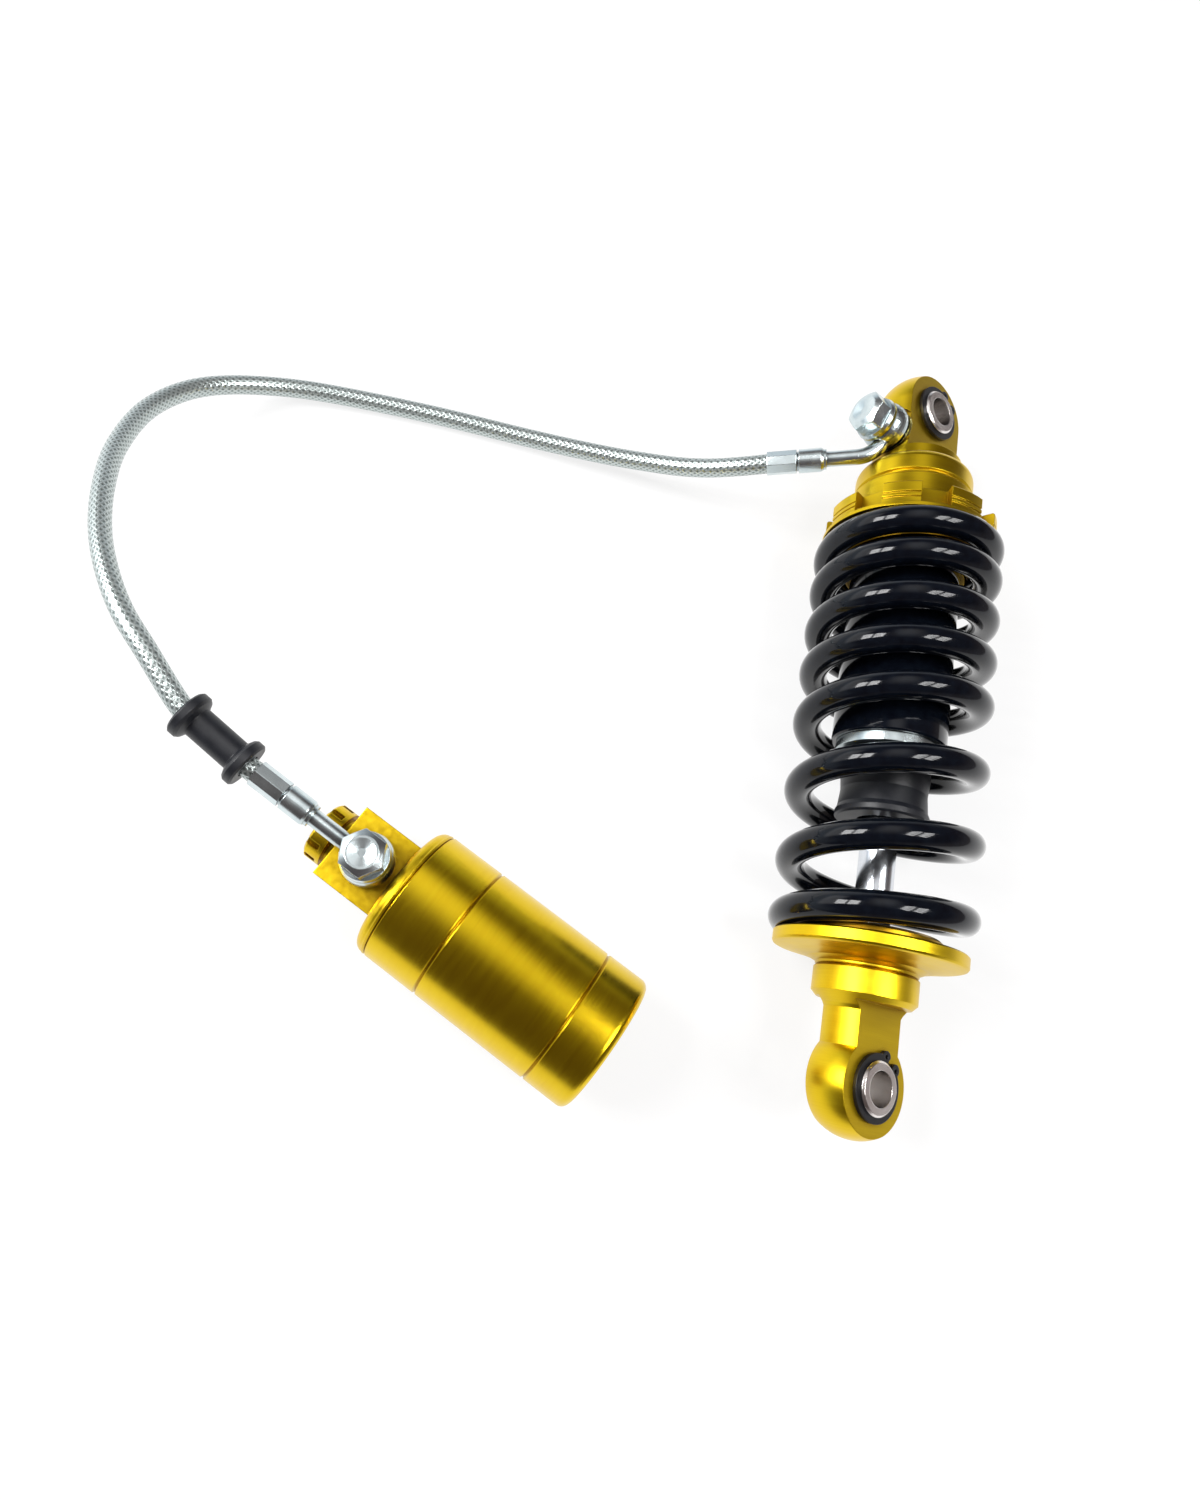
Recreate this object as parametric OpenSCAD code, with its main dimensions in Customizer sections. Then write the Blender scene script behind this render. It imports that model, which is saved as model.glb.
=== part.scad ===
// Coilover: motorcycle shock absorber with a remote reservoir on a braided hose.
// Millimetres. +Y runs up the shock axis, +Z is up from the table, the lower eye is at the origin.

/* [Overall] */
// Distance between the two eye centres
eye_to_eye = 226; // [200:1:260]
// Turn of both eye bores about the shock axis
eye_roll = 58; // [40:1:75]
// Compression travel of the damper
stroke = 33; // [20:1:40]

/* [Eyes] */
// Bolt hole in each sleeve
bolt_d = 10; // [8:0.5:12]
// Outside of each steel sleeve
sleeve_d = 15.2; // [13:0.2:17]
// Length of each steel sleeve
sleeve_len = 17.5; // [16:0.5:26]
// Diameter of the round eye bodies
eye_d = 30; // [28:0.2:36]
// Width over the flats of the eyes
eye_w = 13; // [11:0.5:15]
// Bore for the polymer bush in each eye
bush_d = 18.6; // [17:0.2:22]
// Neck above the lower eye
neck_d = 22.8; // [20:0.2:28]

/* [Spring] */
// Wire diameter
wire_d = 9; // [6:0.5:12]
// Mean coil diameter
coil_d = 51.5; // [46:0.5:60]
// Plane of the lower spring seat above the lower eye
seat_y = 40.1; // [38:0.1:44]
// Plane of the upper spring seat below the upper eye
seat_drop = 52.6; // [50:0.1:56]
// Coils in the whole spring
coils = 8.07; // [7:0.01:9]
// Pitch of the open coils at the bottom
open_pitch = 22.8; // [18:0.1:26]
// Pitch of the tight coils at the top
tight_pitch = 14.8; // [12:0.1:18]
// Pitch of the end coils
end_pitch = 11; // [10:0.1:13]

/* [Damper] */
// Shaft diameter
shaft_d = 11; // [8:0.5:14]
// Damper tube outside
tube_d = 35; // [30:0.5:40]
// Damper tube bore
tube_bore = 30; // [24:0.5:36]
// Bump stop diameter
bump_d = 27; // [20:0.5:32]
// Bump stop length
bump_len = 21.4; // [15:0.2:35]

/* [Cap and preload] */
// Threaded skirt of the cap
skirt_d = 39; // [37.5:0.5:40]
// Round of the cap above the preload ring
cap_d = 40.6; // [40:0.2:44]
// Outside of the preload ring
ring_d = 54.8; // [50:0.2:60]
// Height of the preload ring
ring_h = 8.2; // [6:0.1:10]
// Teeth on the preload ring
ring_teeth = 8; // [4:1:12]
// Preload travel
preload = 6; // [2:0.5:8]
// Upper spring seat diameter
seat_d = 56.6; // [52:0.2:60]
// Perch diameter
perch_d = 56; // [52:0.5:60]

/* [Banjos and hose] */
// Banjo ring diameter
banjo_d = 16; // [12:0.5:20]
// Banjo ring thickness
banjo_h = 7.2; // [6:0.2:12]
// Banjo bolt thread
banjo_bolt_d = 10; // [8:0.5:10]
// Banjo bolt hexagon across flats
hex_af = 12; // [11:0.5:14]
// Braided hose outside
hose_d = 6.6; // [5:0.1:9]
// Rubber sleeve length
bobbin_len = 23; // [16:1:30]
// Rubber sleeve flanges
bobbin_d = 14.5; // [12:0.5:18]

/* [Reservoir] */
// Reservoir outside
can_d = 43; // [36:0.5:50]
// Reservoir bore
can_bore = 36; // [30:0.5:42]
// Length of the can from seam to end
can_len = 72.8; // [66:0.2:90]
// First turned groove from the seam
groove_1 = 18.5; // [10:0.5:30]
// Second turned groove from the seam
groove_2 = 58; // [40:0.5:65]
// Cap block across the can
block_w = 24; // [20:0.5:30]
// Cap block height
block_h = 26; // [20:0.5:30]
// Cap block end from the seam
block_len = 24.4; // [22:0.2:30]
// Banjo bolt from the seam
block_bolt = 13.4; // [12.4:0.1:14.4]
// Adjuster knob diameter
knob_d = 19; // [14:0.5:22]

/* [Hidden] */

// Fits
run_gap = 0.03;
press_gap = 0.02;
face_gap = 0.3;

$fn = 64;
small_fn = 40;
tiny_fn = 24;

gold = [0.85, 0.66, 0.10];
black = [0.06, 0.07, 0.09];
zinc = [0.75, 0.80, 0.84];
steel = [0.70, 0.70, 0.72];
rubber = [0.05, 0.05, 0.05];
braid = [0.68, 0.72, 0.74];

// Lower end, from the lower eye up
neck_len = 21;
collar_d = 30.2;
collar_y = seat_y - 8.5;
nut_y = collar_y + 3;
nut_h = 5;

// Damper, from the jam nut up
stop_gap = 5;
gland_lip = 3;
bump_y = nut_y + nut_h + stroke + stop_gap;
tube_y = bump_y + bump_len + gland_lip + 0.2;
gland_y = tube_y - gland_lip;
piston_y = tube_y + 23.6;
piston_h = 9.9;
piston_nut_h = 5.5;
stud_d = shaft_d - 3;
foot_d = shaft_d - 1;

// Upper end, from the upper eye down
top_seat_y = eye_to_eye - seat_drop;
spring_len = top_seat_y - seat_y;
seat_t = 1.2;
ring_y = top_seat_y + seat_t + 0.2;
cap_y = ring_y + ring_h + face_gap;
skirt_y = top_seat_y - preload - 6;
skirt_len = cap_y - skirt_y;
port_y = eye_to_eye - 12.8;
port_seat = 13.3;
eye_body_d = 30.4;

// Table under the spring
spring_r = (coil_d + wire_d) / 2;

// Reservoir place
res_origin = [-136.8, 27.6, can_d / 2 - spring_r];
res_angle = -25.2;

// Banjo hardware
washer_t = 1.2;
flange_t = 1.4;
hex_h = 5.8;
ring_mid = washer_t + banjo_h / 2;
neck_tube_d = 5.2;
ferrule_d = 8;
ferrule_len = 20;

// Slots of the preload ring
tooth_depth = 4.6;
slot_w = 9.4;

// Upper banjo neck: down, then a bend to the hose
neck_turn = 219;
neck_drop = 3.5;
neck_bend_r = 9;
neck_bend = 84;
upper_neck_len = 30;

// Reservoir banjo neck
res_neck_tilt = 10;
res_neck_len = 39.5;

// Hose centreline from the upper banjo to the reservoir
hose_route = [[-45.5, 198.2, -0.8], [-51.2, 197.6, -2.8], [-59.8, 196.6, -6],
              [-69.7, 196.5, -10.5], [-80, 197.2, -14.5], [-92.7, 198.8, -18.5],
              [-109.4, 200.5, -22], [-136.2, 203.1, -25.5], [-171, 205, -26.6],
              [-205.1, 204.6, -26.2], [-226.6, 201.7, -24], [-245, 193.6, -18],
              [-255.7, 182.7, -11], [-261, 166.2, -2], [-259.7, 145.2, 8],
              [-254.1, 126.3, 16], [-247.4, 110.3, 21], [-239.4, 97, 24.5],
              [-230.6, 85.5, 26], [-220.9, 75.8, 25.3], [-207.3, 62.3, 21.4],
              [-197.5, 56.9, 19], [-186.7, 51, 16.4], [-183.9, 49.7, 15.8],
              [-178.8, 47.3, 14.9]];
hose_steps = 3;
hose_sides = 10;
bobbin_point = 22;
bobbin_waist = 4.7;

// Frames -----------------------------------------------------------------

// Local Z runs up the shock from height y
module along(y = 0) {
    translate([0, y, 0])
        rotate([-90, 0, 0])
            children();
}

// Local X is the eye bore, local Z faces the banjo
module eye_frame(y) {
    translate([0, y, 0])
        rotate([0, -eye_roll, 0])
            children();
}

// Local Z runs from the reservoir cap to its free end, local -X is up
module res_frame() {
    translate(res_origin)
        rotate([0, 0, res_angle])
            rotate([0, 90, 0])
                children();
}

// Local Z leaves the banjo seat
module upper_port() {
    eye_frame(port_y)
        translate([0, 0, port_seat])
            children();
}

module res_port() {
    res_frame()
        translate([-block_h / 2, 0, -block_bolt])
            rotate([0, -90, 0])
                children();
}

// Shared shapes ----------------------------------------------------------

module tube(d_out, d_in, h, fn = $fn) {
    difference() {
        cylinder(d = d_out, h = h, $fn = fn);
        translate([0, 0, -1])
            cylinder(d = d_in, h = h + 2, $fn = fn);
    }
}

module o_ring(d, section) {
    rotate_extrude()
        translate([d / 2, 0])
            circle(d = section, $fn = tiny_fn);
}

// Closed tube swept along a list of points
function unit(v) = v / norm(v);
function sub_at(p, i) = p[max(0, min(len(p) - 1, i))];
function curve_at(p, i, t) =
    let (a = sub_at(p, i - 1), b = sub_at(p, i), c = sub_at(p, i + 1), d = sub_at(p, i + 2))
    0.5 * (2 * b + (c - a) * t + (2 * a - 5 * b + 4 * c - d) * t * t
           + (3 * b - a - 3 * c + d) * t * t * t);
function smooth(p, n) = [for (i = [0:len(p) - 2], k = [0:n - 1]) curve_at(p, i, k / n),
                         p[len(p) - 1]];
function tangent(p, i) = unit(sub_at(p, i + 1) - sub_at(p, i - 1));

module sweep_tube(p, r, sides) {
    n = len(p);
    points = [for (i = [0:n - 1], k = [0:sides - 1])
                 let (t = tangent(p, i),
                      u = unit(cross([0, 0, 1], t)),
                      v = cross(t, u),
                      a = 360 * k / sides)
                 p[i] + r * (cos(a) * u + sin(a) * v)];
    side_a = [for (i = [0:n - 2], k = [0:sides - 1])
                 [i * sides + k, (i + 1) * sides + k, i * sides + (k + 1) % sides]];
    side_b = [for (i = [0:n - 2], k = [0:sides - 1])
                 [(i + 1) * sides + k, (i + 1) * sides + (k + 1) % sides,
                  i * sides + (k + 1) % sides]];
    cap_a = [for (k = [1:sides - 2]) [0, k, k + 1]];
    cap_b = [for (k = [1:sides - 2])
                [(n - 1) * sides, (n - 1) * sides + k + 1, (n - 1) * sides + k]];
    polyhedron(points = points, faces = concat(side_a, side_b, cap_a, cap_b));
}

module circlip(h = 1) {
    difference() {
        union() {
            tube(sleeve_d + 3.8, sleeve_d - 1.2, h, small_fn);
            for (a = [-17, 17])
                rotate([0, 0, a])
                    translate([sleeve_d / 2 + 1.6, 0, 0])
                        cylinder(d = 3.6, h = h, $fn = tiny_fn);
        }
        translate([0, 0, -1])
            cylinder(d = sleeve_d - 1.2, h = h + 2, $fn = small_fn);
        translate([0, -1.2, -1])
            cube([20, 2.4, h + 2]);
        for (a = [-18, 18])
            rotate([0, 0, a])
                translate([sleeve_d / 2 + 1.7, 0, -1])
                    cylinder(d = 1.3, h = h + 2, $fn = tiny_fn);
    }
}

// Sleeve with a groove for a circlip at each end
module eye_sleeve() {
    rotate([0, 90, 0])
        difference() {
            translate([0, 0, -sleeve_len / 2])
                cylinder(d = sleeve_d, h = sleeve_len);
            translate([0, 0, -sleeve_len / 2 - 1])
                cylinder(d = bolt_d, h = sleeve_len + 2);
            for (s = [-1, 1])
                scale(s)
                    translate([0, 0, eye_w / 2 + 0.1 - 0.03])
                        tube(sleeve_d + 2, sleeve_d - 1.3, 1.06);
            for (m = [0, 1])
                mirror([0, 0, m])
                    translate([0, 0, sleeve_len / 2])
                        rotate_extrude()
                            polygon([[sleeve_d / 2 - 0.7, 0.1], [sleeve_d / 2 + 0.1, -0.7],
                                     [sleeve_d / 2 + 0.1, 0.1]]);
        }
}

module eye_bush() {
    rotate([0, 90, 0])
        translate([0, 0, -eye_w / 2])
            tube(bush_d - 2 * press_gap, sleeve_d + 2 * run_gap, eye_w);
}

module eye_circlips() {
    for (s = [-1, 1])
        rotate([0, 90, 0])
            translate([0, 0, s > 0 ? eye_w / 2 + 0.1 : -eye_w / 2 - 1.1])
                rotate([0, 0, 55])
                    circlip();
}

// Cuts the two flats and the bush bore out of an eye
module eye_cuts(low, high) {
    for (s = [-1, 1])
        translate([s > 0 ? eye_w / 2 : -eye_w / 2 - 20, low, -30])
            cube([20, high - low, 60]);
    rotate([0, 90, 0])
        translate([0, 0, -30])
            cylinder(d = bush_d, h = 60);
}

module banjo_bolt() {
    shank = 2 * washer_t + banjo_h;
    head_chamfer = 1.4;
    difference() {
        union() {
            translate([0, 0, -8.5 + 1.2])
                cylinder(d = banjo_bolt_d - 0.1, h = shank + 8.5 - 1.2, $fn = small_fn);
            translate([0, 0, shank])
                cylinder(d1 = hex_af + 2.8, d2 = hex_af + 2, h = flange_t, $fn = small_fn);
            translate([0, 0, shank + flange_t])
                intersection() {
                    cylinder(d = hex_af / cos(30), h = hex_h, $fn = 6);
                    union() {
                        cylinder(d = hex_af / cos(30) + 0.2, h = hex_h - head_chamfer,
                                 $fn = small_fn);
                        translate([0, 0, hex_h - head_chamfer])
                            cylinder(d1 = hex_af / cos(30) + 0.2, d2 = hex_af - 2.6,
                                     h = head_chamfer, $fn = small_fn);
                    }
                }
        }
        translate([0, 0, shank + flange_t + hex_h - 0.6])
            cylinder(d1 = 2.4, d2 = 9, h = 0.7, $fn = small_fn);
        translate([0, 0, -10])
            cylinder(d = 4, h = 10 + ring_mid + 1.5, $fn = tiny_fn);
        translate([-10, 0, ring_mid])
            rotate([0, 90, 0])
                cylinder(d = 3, h = 20, $fn = tiny_fn);
    }
}

module banjo_washers() {
    for (z = [0, washer_t + banjo_h])
        translate([0, 0, z + 0.02])
            tube(banjo_d - 1.4, banjo_bolt_d + 0.2, washer_t - 0.04, small_fn);
}

module banjo_ring_body() {
    translate([0, 0, washer_t])
        rotate_extrude($fn = small_fn)
            polygon(concat(
                [[3, 0]],
                [for (a = [-75:15:75])
                    [banjo_d / 2 - 2 + 2 * cos(a),
                     banjo_h / 2 + (banjo_h / 2) * sin(a) / sin(75)]],
                [[3, banjo_h]]));
}

module banjo_ring_cut() {
    cylinder(d = banjo_bolt_d + 0.3, h = 3 * banjo_h, center = true, $fn = small_fn);
    for (z = [-0.11, washer_t + banjo_h + 0.01])
        translate([0, 0, z])
            cylinder(d = banjo_d - 0.8, h = washer_t + 0.1, $fn = small_fn);
    translate([0, 0, ring_mid])
        rotate_extrude($fn = small_fn)
            translate([banjo_bolt_d / 2 - 0.5, -1.5])
                square([1.5, 3]);
}

// Ferrule along local Z: smooth shell, then the crimped length over the hose
module ferrule() {
    cylinder(d = neck_tube_d + 1.6, h = 1, $fn = small_fn);
    translate([0, 0, 1])
        cylinder(d1 = ferrule_d - 0.8, d2 = ferrule_d, h = 0.8, $fn = small_fn);
    translate([0, 0, 1.8])
        cylinder(d = ferrule_d, h = 7.4, $fn = small_fn);
    translate([0, 0, 9.2])
        cylinder(d = ferrule_d - 1.4, h = 0.8, $fn = small_fn);
    translate([0, 0, 10])
        cylinder(d = ferrule_d, h = ferrule_len - 10, $fn = 8);
}

module hose_socket() {
    translate([0, 0, ferrule_len - 8])
        cylinder(d = hose_d + 0.1, h = 9, $fn = small_fn);
}

// Upper end --------------------------------------------------------------

module top_cap() {
    r_eye = eye_body_d / 2;
    r_cap = cap_d / 2;
    shoulder = eye_to_eye - skirt_y - 27.6;
    color(gold)
        difference() {
            union() {
                along(skirt_y)
                    rotate_extrude()
                        polygon(concat(
                            [[0, 0], [skirt_d / 2 - 0.8, 0], [skirt_d / 2, 0.8],
                             [skirt_d / 2, skirt_len],
                             [r_cap - 0.5, skirt_len],
                             [r_cap, skirt_len + 0.5],
                             [r_cap, shoulder - 7.4],
                             [r_cap - 0.5, shoulder - 6.9],
                             [r_cap - 1.7, shoulder - 6.2],
                             [r_cap - 1.7, shoulder - 5.4],
                             [r_cap - 1, shoulder - 4.8],
                             [r_cap - 1, shoulder]],
                            [for (a = [15:15:90])
                                [r_cap - 4 + 3 * cos(a), shoulder + 3 * sin(a)]],
                            [for (a = [0:15:90])
                                [r_eye + 1 - sin(a), shoulder + 4 - cos(a)]],
                            [[r_eye, eye_to_eye - skirt_y], [0, eye_to_eye - skirt_y]]));
                translate([0, eye_to_eye, 0])
                    sphere(d = eye_body_d);
            }
            eye_frame(eye_to_eye)
                eye_cuts(-20, 30);
            along(skirt_y - 1)
                cylinder(d = tube_d + 2 * press_gap, h = cap_y - 2 - skirt_y + 1);
            along(cap_y - 6)
                cylinder(d = 5, h = port_y - cap_y + 8, $fn = tiny_fn);
            upper_port() {
                cylinder(d = 17.2, h = 10, $fn = small_fn);
                translate([0, 0, -7.5])
                    cylinder(d = banjo_bolt_d, h = 10, $fn = small_fn);
                translate([0, 0, -15])
                    cylinder(d = 4, h = 10, $fn = tiny_fn);
            }
        }
}

module upper_bush() {
    color(rubber)
        eye_frame(eye_to_eye)
            eye_bush();
}

module upper_sleeve() {
    color(steel)
        eye_frame(eye_to_eye)
            eye_sleeve();
}

module upper_circlips() {
    color(black)
        eye_frame(eye_to_eye)
            eye_circlips();
}

module upper_banjo_bolt() {
    color(zinc)
        upper_port()
            banjo_bolt();
}

module upper_banjo_washers() {
    color([0.75, 0.62, 0.25])
        upper_port()
            banjo_washers();
}

module upper_banjo_fitting() {
    color(zinc)
        upper_port()
            difference() {
                union() {
                    banjo_ring_body();
                    translate([0, 0, ring_mid])
                        rotate([0, neck_turn, 0]) {
                            rotate([90, 0, 0])
                                cylinder(d = neck_tube_d, h = neck_drop, $fn = small_fn);
                            translate([neck_bend_r, -neck_drop, 0])
                                rotate([0, 0, 180])
                                    rotate_extrude(angle = neck_bend)
                                        translate([neck_bend_r, 0])
                                            circle(d = neck_tube_d, $fn = small_fn);
                            translate([neck_bend_r * (1 - cos(neck_bend)),
                                       -neck_drop - neck_bend_r * sin(neck_bend), 0])
                                rotate([90, 0, neck_bend]) {
                                    translate([0, 0, -0.5])
                                        cylinder(d = neck_tube_d, h = upper_neck_len - ferrule_len + 0.5,
                                                 $fn = small_fn);
                                    translate([0, 0, upper_neck_len - ferrule_len])
                                        ferrule();
                                }
                        }
                }
                banjo_ring_cut();
                translate([0, 0, ring_mid])
                    rotate([0, neck_turn, 0])
                        translate([neck_bend_r * (1 - cos(neck_bend)),
                                   -neck_drop - neck_bend_r * sin(neck_bend), 0])
                            rotate([90, 0, neck_bend])
                                translate([0, 0, upper_neck_len - ferrule_len])
                                    hose_socket();
            }
}

// Hose -------------------------------------------------------------------

hose_path = smooth(hose_route, hose_steps);

module hose() {
    color(braid)
        sweep_tube(hose_path, hose_d / 2, hose_sides);
}

// Rubber sleeve on the straight of the hose, between two of its points
module hose_bobbin() {
    r = bobbin_d / 2;
    foot = hose_route[bobbin_point];
    d = unit(hose_route[bobbin_point - 1] - foot);
    color(rubber)
        translate(foot)
            rotate([0, acos(d.z), atan2(d.y, d.x)])
                rotate_extrude($fn = small_fn)
                    polygon([[hose_d / 2 + 0.45, 0], [r - 0.6, 0], [r, 0.6],
                             [r, 2.6], [r - 0.6, 3.4], [bobbin_waist, 4.4],
                             [bobbin_waist, bobbin_len - 4.4], [r - 0.6, bobbin_len - 3.4],
                             [r, bobbin_len - 2.6], [r, bobbin_len - 0.6],
                             [r - 0.6, bobbin_len], [hose_d / 2 + 0.45, bobbin_len]]);
}

// Reservoir --------------------------------------------------------------

module reservoir_banjo_fitting() {
    color(zinc)
        res_port()
            difference() {
                union() {
                    banjo_ring_body();
                    translate([0, 0, ring_mid])
                        rotate([0, -90 + res_neck_tilt, 0]) {
                            translate([0, 0, 4])
                                cylinder(d = neck_tube_d,
                                         h = res_neck_len - ferrule_len - 4,
                                         $fn = small_fn);
                            translate([0, 0, res_neck_len - ferrule_len])
                                ferrule();
                        }
                }
                banjo_ring_cut();
                translate([0, 0, ring_mid])
                    rotate([0, -90 + res_neck_tilt, 0])
                        translate([0, 0, res_neck_len - ferrule_len])
                            hose_socket();
            }
}

module reservoir_banjo_bolt() {
    color(zinc)
        res_port()
            banjo_bolt();
}

module reservoir_banjo_washers() {
    color([0.75, 0.62, 0.25])
        res_port()
            banjo_washers();
}

module reservoir_cap() {
    r = can_d / 2;
    color(gold)
        res_frame()
            difference() {
                union() {
                    translate([0, 0, -3.4])
                        rotate_extrude()
                            polygon(concat(
                                [[0, -0.6], [r - 3.2, -0.6]],
                                [for (a = [0:15:90])
                                    [r - 3.2 + 3 * sin(a), 2.4 - 3 * cos(a)]],
                                [[r, 2.8], [r - 0.4, 3.4], [0, 3.4]]));
                    translate([-block_h / 2, -block_w / 2, -block_len])
                        cube([block_h, block_w, block_len - 2]);
                    translate([0, 0, -1])
                        cylinder(d = can_bore - 2 * press_gap, h = 12);
                }
                translate([0, 0, 5])
                    rotate_extrude()
                        translate([can_bore / 2 - 2.3, 0])
                            square([4, 3]);
                translate([0, 0, 2])
                    cylinder(d = 26, h = 12);
                translate([0, 0, -block_bolt])
                    cylinder(d = 5, h = block_bolt + 4, $fn = tiny_fn);
                translate([-block_h / 2, 0, -block_bolt])
                    rotate([0, 90, 0])
                        translate([0, 0, -0.01])
                            cylinder(d = banjo_bolt_d, h = 10, $fn = small_fn);
                translate([-block_h / 2, 0, -block_bolt])
                    rotate([0, 90, 0])
                        cylinder(d = 4, h = block_h / 2, $fn = tiny_fn);
                translate([0, 0, -block_len - 1])
                    cylinder(d = 6 + 2 * run_gap, h = block_len - block_bolt, $fn = small_fn);
                translate([0, 0, -block_len - 1])
                    cylinder(d = 12, h = 4, $fn = small_fn);
            }
}

module cap_o_ring() {
    color(rubber)
        res_frame()
            translate([0, 0, 6.5])
                o_ring(can_bore - 2.4, 2.2);
}

module reservoir_can() {
    r = can_d / 2;
    groove = function (z) [[r, z - 0.6], [r - 0.6, z], [r, z + 0.6]];
    color(gold)
        res_frame()
            translate([0, 0, 0.1])
                difference() {
                    rotate_extrude()
                        polygon(concat(
                            [[can_bore / 2, 0], [r - 0.5, 0], [r, 0.5]],
                            groove(groove_1), groove(groove_2),
                            [for (a = [0:15:90])
                                [r - 2.5 + 2.5 * cos(a), can_len - 2.6 + 2.5 * sin(a)]],
                            [[can_bore / 2, can_len - 0.1]]));
                    translate([0, 0, can_len - 4])
                        tube(can_bore + 2.4, can_bore - 1, 1.3);
                }
}

module floating_piston() {
    color(steel)
        res_frame()
            translate([0, 0, 36])
                difference() {
                    cylinder(d = can_bore - 2 * run_gap, h = 12);
                    translate([0, 0, 4])
                        tube(can_bore + 2, can_bore - 4.4, 3);
                    translate([0, 0, 3])
                        cylinder(d = 27, h = 12);
                }
}

module floating_o_ring() {
    color(rubber)
        res_frame()
            translate([0, 0, 41.5])
                o_ring(can_bore - 2.4, 2.2);
}

module reservoir_end_cap() {
    color(gold)
        res_frame()
            translate([0, 0, can_len - 14])
                difference() {
                    cylinder(d = can_bore - 2 * press_gap, h = 10);
                    translate([0, 0, 6])
                        cylinder(d = 22, h = 6);
                    translate([0, 0, -1])
                        cylinder(d = 8, h = 12, $fn = small_fn);
                }
}

module end_circlip() {
    color(steel)
        res_frame()
            translate([0, 0, can_len - 3.8])
                difference() {
                    tube(can_bore + 2, can_bore - 3.4, 1.1);
                    translate([0, -2, -1])
                        cube([30, 4, 4]);
                }
}

module gas_valve() {
    color(steel)
        res_frame()
            translate([0, 0, can_len - 17])
                difference() {
                    union() {
                        cylinder(d = 11, h = 2.8, $fn = small_fn);
                        cylinder(d = 8 - 2 * press_gap, h = 13.5, $fn = small_fn);
                    }
                    translate([0, 0, -1])
                        cylinder(d = 3, h = 16, $fn = tiny_fn);
                }
}

module valve_cap() {
    color(black)
        res_frame()
            translate([0, 0, can_len - 7.6])
                difference() {
                    union() {
                        cylinder(d = 11, h = 4.6, $fn = small_fn);
                        translate([0, 0, 4.6])
                            cylinder(d1 = 11, d2 = 9.6, h = 0.8, $fn = small_fn);
                    }
                    translate([0, 0, -1])
                        cylinder(d = 8 + 2 * run_gap, h = 5.2, $fn = small_fn);
                }
}

module adjuster_knob() {
    color(gold)
        res_frame()
            translate([0, 0, -block_len - 9.2])
                difference() {
                    union() {
                        cylinder(d1 = knob_d - 1.4, d2 = knob_d, h = 0.7, $fn = small_fn);
                        translate([0, 0, 0.7])
                            cylinder(d = knob_d, h = 5.3, $fn = small_fn);
                        translate([0, 0, 6])
                            cylinder(d = knob_d - 3, h = 2.9, $fn = small_fn);
                    }
                    for (k = [0:9])
                        rotate([0, 0, 36 * k])
                            translate([knob_d / 2 - 1.1, -1, -1])
                                cube([4, 2, 5.6]);
                    translate([0, 0, -1])
                        cylinder(d = 3.2, h = 12, $fn = tiny_fn);
                }
}

module adjuster_needle() {
    color(steel)
        res_frame()
            translate([0, 0, -block_len - 8])
                union() {
                    cylinder(d = 3, h = 9.5, $fn = tiny_fn);
                    translate([0, 0, 9.5])
                        cylinder(d = 6, h = 5.5, $fn = small_fn);
                    translate([0, 0, 15])
                        cylinder(d1 = 4, d2 = 0.8, h = 2.8, $fn = tiny_fn);
                }
}

// Preload ring and seat --------------------------------------------------

module preload_ring() {
    r = ring_d / 2;
    color(gold)
        along(ring_y)
            difference() {
                rotate_extrude()
                    polygon([[skirt_d / 2 + run_gap, 0], [r, 0], [r, 1.9], [r - 0.4, 2.1],
                             [r - 0.4, 2.4], [r, 2.6], [r, 3.6], [r - 0.4, 3.8],
                             [r - 0.4, 4.1], [r, 4.3], [r, ring_h - 0.6], [r - 0.6, ring_h],
                             [skirt_d / 2 + run_gap, ring_h]]);
                for (k = [0:ring_teeth - 1])
                    rotate([0, 0, 360 * k / ring_teeth - 95])
                        translate([r - tooth_depth, -slot_w / 2, -1])
                            cube([8, slot_w, ring_h + 2]);
            }
}

module upper_seat() {
    color(gold)
        along(top_seat_y)
            difference() {
                union() {
                    cylinder(d = seat_d, h = seat_t);
                    translate([0, 0, -4])
                        cylinder(d = coil_d - wire_d - 0.8, h = 5);
                }
                translate([0, 0, -6])
                    cylinder(d = skirt_d + 2 * run_gap, h = 12);
            }
}

// Spring -----------------------------------------------------------------

tip_sink = 0.6;
spring_steps = 28;
spring_sides = 12;
pitch_plan = [[0, end_pitch], [0.66, end_pitch], [1.06, open_pitch], [3.62, open_pitch],
              [3.87, tight_pitch], [6.62, tight_pitch], [6.97, end_pitch], [coils, end_pitch]];
spring_rings = round(coils * spring_steps);
ring_turn = coils / spring_rings;

// Height of the wire centre after each ring, by adding the pitch up
function rises(i, y) =
    i > spring_rings ? []
    : concat([y], rises(i + 1, y + ring_turn * lookup((i + 0.5) * ring_turn, pitch_plan)));
raw_rise = rises(0, 0);
rise_scale = (spring_len + 2 * tip_sink) / raw_rise[spring_rings];
spring_centre = [for (i = [0:spring_rings])
    let (a = -10 - 360 * i * ring_turn)
    [coil_d / 2 * cos(a), seat_y - tip_sink + raw_rise[i] * rise_scale, coil_d / 2 * sin(a)]];

// Ground ends: the wire never passes the two seat planes
function grind(p) = [p.x, max(seat_y + 0.05, min(top_seat_y - 0.05, p.y)), p.z];

turn_rings = round(1 / ring_turn);
spring_gap = min([for (i = [0:spring_rings - turn_rings], k = [-1:1])
    norm(spring_centre[min(spring_rings, i + turn_rings + k)] - spring_centre[i])])
    - wire_d;
echo(spring_least_gap = spring_gap);

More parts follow.
